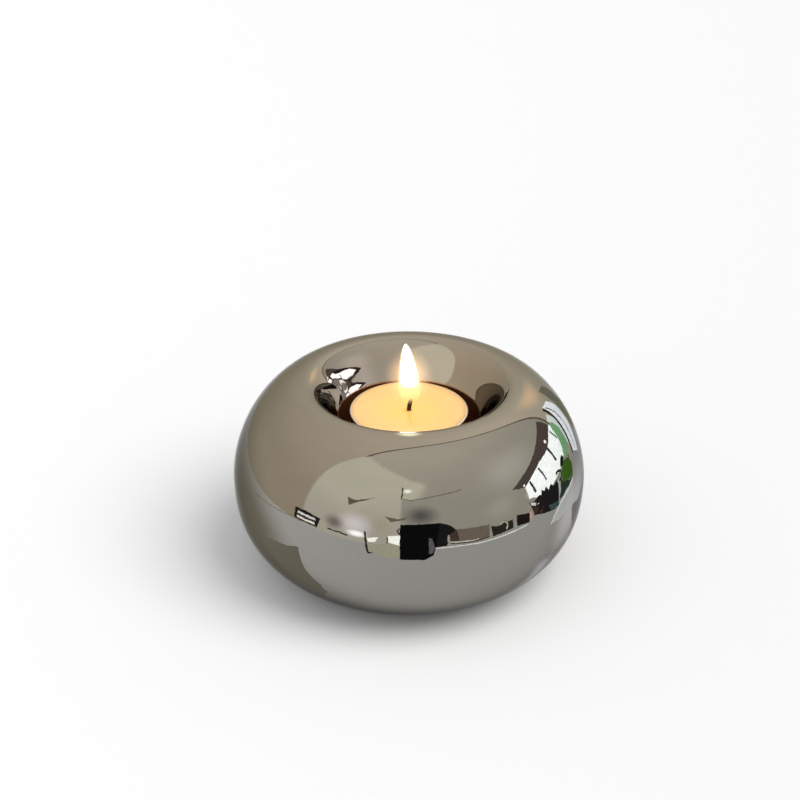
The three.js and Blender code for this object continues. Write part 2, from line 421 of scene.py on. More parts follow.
def tinned_steel(t):
    place = t.place()
    scuffs = t.noise(place, 1.5, 5.0)
    t.principled(
        Base_Color=(0.58, 0.57, 0.55),
        Metallic=1.0,
        Roughness=t.blend(scuffs, 0.2, 0.4),
        Normal=t.bump(scuffs, 0.02),
    )


def fire(low_colour, high_colour, strength, cover, clear_below, full_above):
    """A glow that lets what is behind it through, and fades out towards the wick. Heights are above
    the pool."""

    def paint(t):
        z = t.split(t.place())[2]
        full = pool_level + full_above
        body = t.rise(z, pool_level + clear_below, full)
        colour = t.mix(t.rise(z, full - 2, full + 4), low_colour, high_colour)
        t.finish("Material", t.fade(t.math("MULTIPLY", body, cover), t.clear(), t.glow(colour, strength)))

    return paint


def painted_flame_halo(t):
    """A painted halo for the flame's glare: a faint glow in the air round the flame, which thins out
    sideways. It has no surface.
    """
    x, y, z = t.split(t.place())
    middle = pool_level + FLAME_START + FLAME_HEIGHT / 2
    out = t.math("DIVIDE", t.radius(x, y), FLAME_RADIUS * GLOW_SPREAD)
    up = t.math("DIVIDE", t.math("SUBTRACT", z, middle), FLAME_HEIGHT / 2)
    thin = t.fall(t.radius(out, up), 0.0, 1.0)
    output = t.node("OutputMaterial")
    t.put(output.inputs["Surface"], t.clear())
    t.put(output.inputs["Volume"], t.glow((1.0, 0.55, 0.28), t.math("MULTIPLY", thin, GLOW_STRENGTH)))


# Meshes


def place_in_scene(name, data):
    placed = bpy.data.objects.new(name, data)
    bpy.context.scene.collection.objects.link(placed)
    return placed


def mesh_object(name, points, faces, slots=None, materials=()):
    """A closed, smooth-shaded mesh from points in millimetres, with edges kept sharp at corners."""
    mesh = bpy.data.meshes.new(name)
    mesh.from_pydata([Vector(p) * MM for p in points], [], faces)
    for made in materials:
        mesh.materials.append(made)
    if slots:
        mesh.polygons.foreach_set("material_index", slots)
    solid = bmesh.new()
    solid.from_mesh(mesh)
    bmesh.ops.recalc_face_normals(solid, faces=solid.faces)
    solid.to_mesh(mesh)
    solid.free()
    mesh.shade_smooth()
    mesh.set_sharp_from_angle(angle=math.radians(40))
    return place_in_scene(name, mesh)


def outward(angle):
    return Vector((math.cos(angle), math.sin(angle), 0))


def arc(r, z, reach, rise, start, end, steps, power=2):
    """Points on a superellipse about (r, z). Angle 0 is on its outer side, a quarter turn on top."""
    points = []
    for i in range(steps + 1):
        angle = start + (end - start) * i / steps
        across = math.copysign(abs(math.cos(angle)) ** (2 / power), math.cos(angle))
        up = math.copysign(abs(math.sin(angle)) ** (2 / power), math.sin(angle))
        points.append((r + reach * across, z + rise * up))
    return points


def bowl_curve(crest, end, bend, steps):
    """A smooth curve that leaves the crest level and comes down to its end at the bowl's slope."""
    slope_up = Vector((math.cos(BOWL_SLOPE), math.sin(BOWL_SLOPE)))
    ends = Vector(crest), Vector(crest) - Vector((bend, 0)), Vector(end) + slope_up * bend, Vector(end)
    points = []
    for i in range(steps + 1):
        t = i / steps
        weights = ((1 - t) ** 3, 3 * (1 - t) ** 2 * t, 3 * (1 - t) * t**2, t**3)
        points.append(tuple(sum((w * p for w, p in zip(weights, ends)), Vector((0, 0)))))
    return points


def turned(name, stretches, materials, steps=192, height=0, shape=None):
    """A body turned about Z. stretches are (material index, (radius, height) points), end to end,
    and shape moves each point a little from where the turning put it."""
    outline = []
    for slot, stretch in stretches:
        for r, z in stretch:
            if not outline or math.dist(outline[-1][1:], (r, z)) > 1e-4:
                outline.append((slot, r, z))
    closed = math.dist(outline[0][1:], outline[-1][1:]) <= 1e-4
    if closed:
        outline.pop()
    points, rings = [], []
    for slot, r, z in outline:
        count = steps if r > 1e-4 else 1
        rings.append((len(points), count))
        for i in range(count):
            angle = 2 * math.pi * i / steps
            point = Vector((r * math.cos(angle), r * math.sin(angle), z + height))
            points.append(shape(point, angle) if shape else point)
    faces, slots = [], []
    pairs = len(rings) if closed else len(rings) - 1
    for k in range(pairs):
        (first, m), (second, n) = rings[k], rings[(k + 1) % len(rings)]
        for i in range(steps):
            j = (i + 1) % steps
            corners = [first + i % m, first + j % m, second + j % n, second + i % n]
            faces.append(list(dict.fromkeys(corners)))
            slots.append(outline[(k + 1) % len(rings)][0])
    return mesh_object(name, points, faces, slots, materials)


def swept(name, path, radius_at, materials, sides=24, lobes=0, twist=0.0):
    """A tapering rod along a path that climbs. radius_at takes 0 to 1 along it, and lobes make it
    a twisted strand."""
    points = []
    for i, middle in enumerate(path):
        along = i / (len(path) - 1)
        radius = radius_at(along)
        for j in range(sides):
            angle = 2 * math.pi * j / sides
            strand = 1.0
            if lobes:
                groove = 1 - abs(math.cos(lobes * (angle - 2 * math.pi * twist * along) / 2))
                strand = 1 - STRAND_DEPTH * groove
            points.append(Vector(middle) + outward(angle) * radius * strand)
    faces = [list(range(sides)), list(range(len(points) - sides, len(points)))]
    for i in range(len(path) - 1):
        for j in range(sides):
            k = (j + 1) % sides
            low, high = i * sides, (i + 1) * sides
            faces.append([low + j, low + k, high + k, high + j])
    return mesh_object(name, points, faces, None, materials)


# The holder


def casting_outline():
    """The hollow from under the well out and down to the drain hole, then the outside up over the
    ball and down into the well. The first material is the glaze and the second is bare clay."""
    inner_fillet = WELL_FILLET + WALL
    fillet = (WELL_RADIUS - WELL_FILLET, floor_height + WELL_FILLET)
    under_radius = WELL_RADIUS + WALL
    past_offset = under_radius - bowl_end_radius - WALL * math.sin(BOWL_SLOPE)
    under_height = edge_height - WALL * math.cos(BOWL_SLOPE) + past_offset * math.tan(BOWL_SLOPE)
    under_end = (under_radius, under_height)
    hollow = [
        (0, floor_height - WALL),
        *arc(*fillet, inner_fillet, inner_fillet, -QUARTER, 0, 8),
        *reversed(bowl_curve((crest_radius, BODY_HEIGHT - WALL), under_end, UNDER_BEND, 12)),
        *arc(
            crest_radius, WAIST_HEIGHT,
            BALL_RADIUS - WALL - crest_radius, BODY_HEIGHT - WALL - WAIST_HEIGHT,
            QUARTER, 0, 16, SHOULDER_POWER,
        ),
        *arc(
            FOOT_RADIUS, WAIST_HEIGHT,
            BALL_RADIUS - WALL - FOOT_RADIUS, WAIST_HEIGHT - WALL,
            0, -QUARTER, 16, BELLY_POWER,
        ),
        (RECESS_RADIUS, WALL),
        (RECESS_RADIUS - RECESS_DEPTH, WALL + RECESS_DEPTH),
        (DRAIN_RADIUS, WALL + RECESS_DEPTH),
        (DRAIN_RADIUS, RECESS_DEPTH),
        (RECESS_RADIUS - RECESS_DEPTH, RECESS_DEPTH),
        (RECESS_RADIUS, 0),
    ]
    edge_middle = edge_height - EDGE_ROUND * math.cos(BOWL_SLOPE)
    outside = [
        *arc(
            FOOT_RADIUS, WAIST_HEIGHT,
            BALL_RADIUS - FOOT_RADIUS, WAIST_HEIGHT,
            -QUARTER, 0, 44, BELLY_POWER,
        ),
        *arc(
            crest_radius, WAIST_HEIGHT,
            BALL_RADIUS - crest_radius, BODY_HEIGHT - WAIST_HEIGHT,
            0, QUARTER, 44, SHOULDER_POWER,
        ),
        *bowl_curve((crest_radius, BODY_HEIGHT), (bowl_end_radius, edge_height), BOWL_BEND, 48),
        *arc(
            WELL_RADIUS + EDGE_ROUND, edge_middle,
            EDGE_ROUND, EDGE_ROUND,
            QUARTER + BOWL_SLOPE, 2 * QUARTER, 8,
        ),
        *arc(*fillet, WELL_FILLET, WELL_FILLET, 0, -QUARTER, 8),
        (0, floor_height),
    ]
    return [(1, hollow), (0, outside)]


def hand_cast(point, angle):
    """The slight swells of a cast and fired surface, which make its reflections wander."""
    swell = SWELL * noise.noise(point * SWELLS_PER_MM)
    return point + outward(angle) * swell if point.xy.length > 1 else point


def casting(glaze, clay):
    made = turned(
        "casting", casting_outline(), [glaze, clay],
        steps=256, height=PAD_THICKNESS, shape=hand_cast,
    )
    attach(made, "holder")
    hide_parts("ball_lower", "ball_upper", "bowl_and_well")


def pressed(point, angle):
    """A felt disc's slightly ragged edge."""
    edge = min(point.xy.length / PAD_RADIUS, 1) ** 8
    return point + outward(angle) * edge * PAD_RAGGED * (noise.noise(point * 3) - 0.5)


def foot_pad(name, angle, finish):
    outline = [
        (0, 0),
        *arc(PAD_RADIUS - PAD_ROUND, PAD_ROUND, PAD_ROUND, PAD_ROUND, -QUARTER, 0, 4),
        (PAD_RADIUS, PAD_THICKNESS),
        (0, PAD_THICKNESS),
    ]
    pad = turned(f"pad_{name}", [(0, outline)], [finish], steps=64, shape=pressed)
    pad.location = outward(angle) * PAD_CIRCLE_RADIUS * MM
    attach(pad, "holder")
    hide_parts(f"foot_pad_{name}")


# The tealight


def fluted(point, angle):
    """Pleats round the cup's wall, which fade out at its corner and under its rim."""
    above = point.z - tealight_lift
    top = CUP_HEIGHT - FLUTES_BELOW_RIM
    if point.xy.length < cup_base - CUP_CORNER or not CUP_CORNER < above < top:
        return point
    fade = min(1, (above - CUP_CORNER) / FLUTES_FADE, (top - above) / FLUTES_FADE)
    return point + outward(angle) * FLUTE_DEPTH * fade * (math.cos(FLUTES * angle) - 1) / 2


def wall_line(inset, low, high, steps=8):
    """The cup's wall, which leans out evenly, from one height to another."""
    lean = CUP_TAPER / (CUP_HEIGHT - CUP_CORNER)
    return [
        (cup_base - inset + lean * (z - CUP_CORNER), z)
        for z in (low + (high - low) * i / steps for i in range(steps + 1))
    ]


def cup(finish):
    inside = CUP_CORNER - CUP_SHEET
    rim = RIM_HEIGHT / 2
    outline = [
        (0, CUP_RAISED),
        (CUP_RAISED_RADIUS, CUP_RAISED),
        (CUP_RAISED_RADIUS + 0.6, 0),
        *arc(cup_base - CUP_CORNER, CUP_CORNER, CUP_CORNER, CUP_CORNER, -QUARTER, 0, 6),
        *wall_line(0, CUP_CORNER, CUP_HEIGHT - RIM_HEIGHT),
        *arc(RIM_RADIUS - rim, CUP_HEIGHT - rim, rim, rim, -QUARTER, QUARTER, 8),
        *arc(cup_wall - CUP_SHEET + rim, CUP_HEIGHT - rim, rim, rim, QUARTER, 2 * QUARTER, 5),
        *wall_line(CUP_SHEET, CUP_HEIGHT - RIM_HEIGHT, CUP_CORNER),
        *arc(cup_base - CUP_CORNER, CUP_CORNER, inside, inside, 0, -QUARTER, 5),
        (0, CUP_SHEET),
    ]
    made = turned("cup", [(0, outline)], [finish], steps=FLUTES * 6, height=tealight_lift, shape=fluted)
    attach(made, "tealight")
    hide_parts("tealight_cup")


def dish_curve(outer, inner, steps):
    """The soft step from the wax's top down to the pool."""
    points = []
    for i in range(steps + 1):
        fall = (1 - math.cos(math.pi * i / steps)) / 2
        points.append((outer + (inner - outer) * i / steps, wax_height - DISH_DEPTH * fall))
    return points


def wax_puck(finish):
    wick_hole = bore + WAX_GAP
    sheet_top = CUP_SHEET + BASE_SHEET + WAX_GAP
    corner = CUP_CORNER - CUP_SHEET
    side = wall_line(CUP_SHEET + WAX_GAP, CUP_CORNER, wax_height - 0.3)
    top_edge = side[-1][0]
    outline = [
        (wick_hole, neck_top + WAX_GAP),
        (neck + WAX_GAP, neck_top + WAX_GAP),
        (neck + WAX_GAP, sheet_top),
        (BASE_RADIUS + WAX_GAP, sheet_top),
        (BASE_RADIUS + WAX_GAP, CUP_SHEET),
        (side[0][0] - corner, CUP_SHEET),
        *side,
        (top_edge, CUP_HEIGHT - CREPT_ROUND),
        *arc(
            RIM_RADIUS - RIM_SHOWN - CREPT_ROUND, CUP_HEIGHT + 0.02,
            CREPT_ROUND, CREPT_ROUND,
            0, QUARTER, 4,
        ),
        (top_edge - 0.1, wax_height + MENISCUS_HEIGHT),
        (top_edge - MENISCUS_WIDTH, wax_height),
        *dish_curve(*DISH_SOFT, 16),
        (wick_hole + 4 * WICK_CLIMB, pool_height),
        (wick_hole + WICK_CLIMB, pool_height + 0.4 * WICK_CLIMB),
        (wick_hole, pool_height + WICK_CLIMB),
        (wick_hole, neck_top + WAX_GAP),
    ]
    made = turned("wax_puck", [(0, outline)], [finish], height=tealight_lift)
    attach(made, "candle")
    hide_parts("wax")


def ribbed(point, angle):
    """Stamped ribs in the sheet round the neck."""
    ring = point.xy.length
    if not neck + 0.6 < ring < BASE_RADIUS - 0.8:
        return point
    return point + Vector((0, 0, BASE_RIB_HEIGHT * math.cos(BASE_RIBS * angle)))


def sheet_ring(height):
    """Points across the sheet of the wick's base, from its edge in to the neck."""
    radii = [BASE_RADIUS, BASE_RADIUS - 1, 5, 3.5, neck + 0.5]
    return [(r, height) for r in radii]


def wick_holder(finish):
    sheet_top = CUP_SHEET + BASE_SHEET
    outline = [
        (bore, CUP_SHEET),
        *reversed(sheet_ring(CUP_SHEET)),
        *sheet_ring(sheet_top),
        (neck + 0.15, sheet_top + 0.1),
        (neck, sheet_top + 0.4),
        (neck, neck_top - 0.1),
        (neck - 0.1, neck_top),
        (bore, neck_top),
        (bore, CUP_SHEET),
    ]
    made = turned("wick_holder", [(0, outline)], [finish], steps=96, height=tealight_lift, shape=ribbed)
    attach(made, "candle")
    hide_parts("wick_base")


def burnt_curve(along):
    """The wick's middle line: straight up through the wax, then curling over to the right."""
    above = max(0.0, (CUP_SHEET + along * (pool_height + WICK_SHOWN - CUP_SHEET)) - pool_height)
    bend = above / WICK_SHOWN
    height = tealight_lift + CUP_SHEET + along * (pool_height + WICK_SHOWN - CUP_SHEET)
    return (WICK_LEAN * bend**2, 0, height)


def cotton_wick(finish):
    steps = 64

    def radius_at(along):
        return WICK_RADIUS * (1 - WICK_TAPER * max(0.0, along - WICK_TAPER_FROM) / (1 - WICK_TAPER_FROM))

    path = [burnt_curve(i / steps) for i in range(steps + 1)]
    made = swept("cotton_wick", path, radius_at, [finish], 24, WICK_STRANDS, WICK_TWIST)
    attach(made, "candle")
    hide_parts("wick")


def flame_shell(name, widen, top, paint):
    """One layer of the flame: a drop that leans, narrowed or widened about its middle line."""
    steps = 40
    start = pool_level + FLAME_START
    path = []
    for i in range(steps + 1):
        along = FLAME_ENDS + (1 - 2 * FLAME_ENDS) * i / steps
        lean = (along * top) ** FLAME_LEAN
        path.append((
            WICK_LEAN * 0.6 * (1 - along) + FLAME_TIP[0] * lean,
            FLAME_TIP[1] * lean,
            start + FLAME_HEIGHT * along * top,
        ))

    def radius_at(along):
        along = FLAME_ENDS + (1 - 2 * FLAME_ENDS) * along
        return FLAME_RADIUS * widen * math.sin(math.pi * along**FLAME_BELLY) ** FLAME_FULLNESS

    made = swept(name, path, radius_at, [material(name, paint)], 32)
    made.visible_diffuse = False
    made.visible_shadow = False
    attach(made, "candle")


def flame():
    """A white heart in a yellow mantle. It's much brighter than the room, as its reflections show."""
    heart = fire(
        low_colour=(0.04, 0.038, 0.012), high_colour=(1.0, 0.96, 0.86),
        strength=30, cover=1.0, clear_below=4.8, full_above=11.0,
    )
    mantle = fire(
        low_colour=(0.95, 0.88, 0.3), high_colour=(1.0, 0.76, 0.42),
        strength=1.1, cover=0.5, clear_below=2.8, full_above=7.5,
    )
    flame_shell("flame_core", widen=0.8, top=0.98, paint=heart)
    flame_shell("flame_mantle", widen=1.0, top=1.0, paint=mantle)
    flame_shell("flame_glow", widen=GLOW_SPREAD, top=1.0, paint=painted_flame_halo)


def unseen_lamp(name, kind, strength, colour):
    """A lamp that lights the scene and shows neither to the camera nor in mirrors."""
    data = bpy.data.lights.new(name, kind)
    data.energy = strength
    data.color = colour
    placed = place_in_scene(name, data)
    placed.visible_camera = False
    placed.visible_glossy = False
    return placed


def candle_light():
    placed = unseen_lamp("candle_light", "POINT", strength=0.0025, colour=(1.0, 0.6, 0.25))
    placed.data.shadow_soft_size = 0.003
    placed.location = Vector((0, 1, pool_level + LIGHT_ABOVE_POOL)) * MM
    placed.parent = frame["bodies"]["candle"]


# The surroundings, as the silver shows them. Azimuth 0 is towards the camera and grows to the right.


DAYLIGHT = (0.56, 0.562, 0.57)  # what the room adds to the lamps on every surface
CAMERA_PLACE = (0, -0.4746, 0.3150)
CAMERA_LENS = 75.95
SENSOR_WIDTH = 36
CAMERA_DOWN = 28.41
CAMERA_LEFT = 0.346
FAR = 1500  # how far away the things are that don't stand near the ball
TABLE_EDGE = 290  # past it mirrors show the foot of the walls
EDGE_SEED = 1  # for the ragged edges of the things in the room
FLOOR_REACH = 12000
FLOOR_COLOUR = (0.88, 0.88, 0.88)
CARD_FACET = 2.5  # degrees
CARD_RAGGED = 0.4  # degrees
CARD_MOTTLE = 60  # a higher number makes finer mottles
CARD_FOOT = 0.5  # how far above the table it ends
CARD_SPACING = 0.002  # how much nearer each card is than the last, as a share of its distance

# The paler wall in front on the left: how far it goes round, and its arched top
PALE_WALL_SIDES = (-68.0, -5.0)
PALE_WALL_MIDDLE = -67.0
PALE_WALL_TOP = 69.0
PALE_WALL_ARCH = 0.0036

# The way across the line overhead where the two plain walls meet
ACROSS_CORNER = (-0.633, 0.762, -0.121)

# Soft patches on the walls: azimuth, elevation, half width, half height, strength and screen colour
SPOTS = [
    (8, 17, 15, 12, 1.0, (78, 75, 72)),
    (-33, 5, 15, 13, 1.0, (196, 189, 187)),
    (-46, 2, 9, 8, 0.9, (98, 88, 84)),
    (-1, 40, 5, 3, 1.0, (238, 238, 230)),
    (80, 32, 34, 24, 0.4, (182, 175, 165)),
    (152, 24, 14, 16, 0.8, (212, 180, 142)),
    (60, 8, 16, 12, 0.3, (168, 163, 152)),
    (84, 4, 6, 5, 0.8, (214, 210, 204)),
    (-16, 8, 9, 8, 0.5, (150, 142, 112)),
]

# Things in the room, farthest first: name, the elevation where they meet the table, screen colour,
# and outline as azimuths and elevations in degrees. Those that meet it at 0 are far away.
THINGS = [
    ("header", 0, (70, 60, 56), [
        (71, 14.8), (83, 18), (95, 20), (107, 22.2), (118, 24), (129, 25),
        (129, 13.2), (121, 12.4), (112, 11.7), (101, 14.2), (91, 12.8), (81, 10),
    ]),
    ("panes", 0, (247, 251, 247), [
        (81, 10), (91, 12.8), (101, 14.2), (113, 12), (123, 13.2), (129, 13.2), (132, 8), (132, 0.5),
        (81, 0.5),
    ]),
    ("panes_low", -5.5, (244, 249, 243), [
        (81, 1.5), (132, 1.5), (130, -5.5), (122, -4), (110, -4.5), (98, -5), (89, -3),
    ]),
    ("arrow", 0, (90, 82, 66), [
        (-42, 25.7), (-37, 24.8), (-34, 25.8), (-22, 31.8), (-33, 24.6), (-37, 21.5), (-39.5, 19),
    ]),
    ("bracket", 0, (98, 88, 74), [(-15, 15.9), (-7, 14.3), (-1, 16.2), (-2, 14), (-11, 11.3)]),
    ("side_pane", -10, (206, 214, 207), [
        (131, 13.4), (136, 14), (137, 5), (136, -3), (135, -10), (133.5, -6), (134, 1), (133, 8),
    ]),
    ("hedge", -8.5, (112, 158, 112), [
        (130, 13), (133, 8), (134, 1), (134, -5.8), (129, -8.5), (122, -4.6), (125, -1), (127, 4), (128, 9),
    ]),
    ("curtain", -20, (236, 240, 242), [
        (140.5, 16), (145.5, 9), (148, -3), (149.5, -14), (147, -20), (137, -14), (137.5, -7), (138.6, 2),
    ]),
    ("curtain_fold", -24, (112, 110, 92), [
        (151, 12), (155, 2), (159, -14), (167, -24), (158, -22), (152, -16), (150, -8), (149, 3),
    ]),
    ("louvre", -8.5, (30, 28, 25), [(-74, -0.4), (-66, 1), (-55, 0.4), (-57, -7.8), (-74, -8.5)]),
    ("slat_high", -8.5, (206, 202, 192), [(-71.5, -2.2), (-59, -1.4), (-58, -2.8), (-72, -4)]),
    ("slat_low", -8.5, (214, 210, 200), [(-72, -5.6), (-59, -4.9), (-58.5, -6.3), (-72, -7.3)]),
    ("white_box_left", -9.5, (236, 236, 226), [(-25, -4.6), (-18, -2.7), (-20, -7.3), (-24, -8)]),
    ("white_box_right", -9.5, (240, 240, 230), [(-12, -0.9), (-5, 0.2), (-5, -9), (-12, -6.6)]),
    ("papers", -22, (146, 144, 122), [
        (-24, -8.9), (-12, -7.8), (-5, -9.6), (-5, -22), (-12, -22), (-16, -19.8), (-24, -17.4),
    ]),
    ("post", -20, (42, 39, 35), [
        (-27, 1.2), (-25.6, 0.4), (-25, -7), (-24, -16.7), (-19, -17), (-19.4, -18), (-25, -19.9), (-26, -12),
    ]),
    ("basket", -24.7, (12, 11, 11), [
        (-5.2, 9.6), (8, 9.9), (19, 9.6), (16, -11.9), (15, -19.5), (10, -24.7), (-5, -24),
    ]),
    ("basket_lid", -12, (25, 23, 21), [
        (8, 9.9), (19, 9.6), (25, 6.7), (29, 1.4), (24, -1.7), (23, -11.3), (16, -12),
    ]),
    ("basket_sheen", -24.8, (84, 82, 85), [(12, -2.5), (14, -3.4), (15.6, -11.9), (14, -18), (12, -17.7)]),
    ("shelf", -11.6, (98, 88, 77), [(24, 2.6), (30, 1.8), (50, -1.6), (50, -11.5), (39, -11.6), (25, -8.7)]),
    ("shelf_end", -11.6, (60, 51, 42), [(24, 2.6), (29, 1.9), (31, -9.8), (25, -8.7)]),
    ("glasses", -12.7, (36, 35, 28), [
        (51, -3.4), (55, -5.4), (58, -5.6), (60, -3), (62, -5), (66, -5.6), (66.3, -12.4), (52, -12.7),
    ]),
    ("pot", -14.6, (30, 22, 20), [(69, -4), (74, -6), (79, -7.9), (79, -14.6), (69, -12.4)]),
    ("pot_side", -14.6, (88, 48, 38), [(74, -6.6), (78.4, -8.3), (78, -13.6), (74.6, -12.6)]),
    ("chair", -19.3, (28, 25, 26), [
        (80, -1.1), (84, -3), (89, -1.7), (91, -3.4), (92, 0), (94, -2.8), (96, -1), (98, -4.6), (101, -3.2),
        (103, -6), (107, -5.5), (108, -8.5), (107, -17.3), (103, -19.3), (93, -16.2), (83, -12),
    ]),
    ("chair_cover", -19.3, (196, 195, 194), [(81, -1.8), (84, -3.8), (88, -6.9), (86, -7.1), (81.4, -4.3)]),
    ("chair_side", -19.3, (60, 44, 36), [(83, -6.8), (92, -10.7), (90, -14.3), (83, -11.2)]),
    ("chair_foot", -19.8, (54, 70, 70), [(96, -13.2), (107, -16.9), (108, -19.8), (99, -17.9)]),
    ("under_leaves", -18.6, (42, 50, 42), [
        (112, -7.7), (114, -11.5), (123, -16), (128, -17.2), (125, -18.4), (117, -16.7), (109, -17.4),
        (108, -14.6), (110, -11.5),
    ]),
    ("cushion", -18.6, (158, 166, 162), [
        (109, -6.4), (110, -9.5), (110, -12.9), (108, -15.5), (105.4, -13.9), (105.6, -9.7), (107, -7.1),
    ]),
    ("leaves", -17.1, (56, 88, 28), [
        (114, -6.2), (120, -4.6), (126, -8), (130, -13.1), (128, -17.1), (121, -14.8), (113, -11.6),
    ]),
    ("leaf", -17.1, (112, 140, 36), [(116, -8.4), (121, -7.6), (125, -11.5), (123, -14), (117, -11.8)]),
    ("leaf_shade", -17.1, (18, 24, 18), [(121, -1.8), (121.6, -4), (117, -5.4), (114.6, -3.6), (118, -1.4)]),
    ("shaded_floor", -66, (96, 92, 81), [
        (-76.5, -33.5), (-79, -40), (-83, -48), (-90, -60), (-112, -66), (-146, -66), (-150, -46),
        (-120, -36), (-89, -35),
    ]),
    ("lit_floor", -30, (168, 170, 168), [
        (128, -18.4), (116, -18.8), (109, -20), (104.4, -23), (103, -27.5), (112, -29), (127, -27),
    ]),
    ("right_shade", -50, (127, 122, 120), [
        (131, -28.8), (143, -30.6), (148, -29.6), (158, -28.5), (168, -29), (172, -34), (166, -37),
        (150, -36.7), (138, -33.9), (132, -30.6),
    ]),
]

# Narrow things, farthest first: name, the elevation where they meet the table, screen colour, width,
# and path
LINES = [
    ("hook", 0, (48, 45, 40), 0.9, [(-4.7, 43.8), (-4.6, 37), (-5, 32.3)]),
    ("picture_rail", 0, (104, 95, 84), 0.9, [(-5, 32.2), (1, 31.2), (19, 33.7), (40, 34.6)]),
    ("far_lamp", 0, (252, 250, 243), 1.9, [(115.2, 15.4), (116.8, 15.4)]),
    ("near_lamp", 0, (246, 243, 234), 1.5, [(80.4, 11.6), (81.6, 11.6)]),
    ("mullion_far", 0, (96, 112, 98), 1.3, [(125, 12.1), (126, 4)]),
    ("mullion_third", -4, (48, 50, 46), 1.7, [(113, 12), (113.4, 4), (114, -3.7)]),
    ("mullion_second", -4.4, (62, 62, 58), 1.2, [(97, 12.3), (98, 6.3), (99, -4.3)]),
    ("mullion_first", -3, (38, 36, 34), 1.7, [(86, 10.7), (87, 4), (88, -2.7)]),
    ("frame", -14, (34, 36, 32), 2.0, [(139, 16), (138, 5.1), (137, -2), (136, -8.4), (136, -13.5)]),
    ("curtain_seam", -20, (92, 96, 96), 0.8, [(141, 12), (142, 1), (143, -8), (142, -16)]),
    ("far_table_line", -16, (112, 107, 94), 0.6, [(-112, -16), (-96, -13), (-82, -10.4), (-75, -8.6)]),
    ("sill", -6.4, (48, 43, 40), 1.2, [(-50, -5), (-46, -5.2), (-42, -5), (-37, -6)]),
    ("box_edge", -9.5, (58, 54, 48), 0.9, [(-12.6, -1.6), (-12.4, -5), (-12.6, -8)]),
    ("basket_handle", -24.7, (30, 28, 26), 0.9, [(-5.2, 6.5), (-7, 4), (-5.2, 0.8)]),
    ("basket_edge", -12, (160, 152, 138), 0.5, [(23.7, -1.8), (23.3, -8)]),
    ("shelf_light", -11.6, (196, 190, 175), 0.8, [(25, -8.5), (39, -10.9), (43, -10.8)]),
    ("shelf_shade", -12.5, (52, 43, 35), 1.0, [(25, -9.6), (39, -12.1), (50, -12)]),
    ("glass_edge", -12.7, (176, 170, 154), 0.8, [
        (57.2, -5.4), (58.6, -4.2), (61, -4.6), (62.2, -7.4), (61.4, -10.8),
    ]),
    ("pot_edge", -14.6, (194, 152, 136), 1.3, [(80, -8), (80.4, -10.5), (80, -13)]),
    ("table_line", -15.2, (204, 204, 196), 0.9, [
        (16, -12.5), (31, -13.3), (47, -15), (60, -15.2), (78, -15.6),
    ]),
    ("vine", -8.2, (24, 26, 22), 1.3, [(108, -2.7), (111, -3), (114, -5.4), (113, -8), (110, -8.2)]),
    ("floor_line", -27.5, (222, 224, 221), 1.0, [
        (128, -18), (116, -18.3), (109, -19.4), (104, -22.8), (102, -27.5),
    ]),
]

# The window again, in the upright plane OVER_BOWL to the right of the axis, where only the left of
# the bowl sees it. Farthest first: name, screen colour, and outline as places to the back and heights.
OVER_BOWL = 20
ACROSS_BOWL = 38  # the bowl's left is farther than this from them, and its right is nearer
BOWL_THINGS = [
    ("bowl_window", (36, 32, 30), [
        (46, 69.5), (43, 73.4), (39, 75.1), (34.2, 78.1), (30, 79.5), (19.4, 79.4), (9.4, 79.4),
        (11.8, 76), (15, 73.5), (20, 70.8), (22.4, 70.6), (27.4, 68.4), (29, 66.5), (40, 66),
    ]),
    ("bowl_chair", (108, 103, 98), [
        (38.1, 69), (33.7, 70.3), (26.2, 70.2), (24, 69), (28, 66.8), (38, 66.2),
    ]),
    ("bowl_low_panes", (222, 219, 208), [(27.5, 68.4), (23.3, 69.4), (26, 70), (29.6, 69), (29, 67.2)]),
    ("bowl_side_pane", (240, 238, 228), [
        (41.9, 71.8), (38.2, 69.4), (41.1, 66.6), (44.9, 66.4), (44.7, 68.7),
    ]),
    ("bowl_panes", (250, 250, 246), [
        (38.9, 73.9), (35, 76.7), (31.6, 74.6), (26.8, 75), (21.8, 77), (17.8, 77.8), (13.4, 77), (16, 73.7),
        (21.6, 71), (25, 70.4), (27, 71), (31, 70.6), (34.1, 71), (36.6, 70.6),
    ]),
    ("bowl_mullion", (52, 50, 46), [(27.6, 73.4), (26.6, 73.5), (25.4, 70.2), (26.2, 70.2)]),
]

# The glare on the lip, with half its width and half its height
GLARE_MIDDLE = (0, 8, 96)
GLARE_WIDTH = 6
GLARE_HEIGHT = 22
GLARE_COLOUR = (255, 244, 206)

# Soft patches near the table: name, screen colour, middle, half width and half height
GLOWS = [
    ("lamp_glow", (252, 250, 246), (-31.5, -2.6), 8, 3.6),
    ("floor_light", (172, 172, 170), (140, -48), 26, 5),
    ("floor_shade", (130, 122, 120), (146, -33), 26, 7),
    ("left_shade", (107, 101, 88), (-124, -30), 50, 35),
    ("right_light", (188, 186, 184), (132, -30), 26, 16),
]


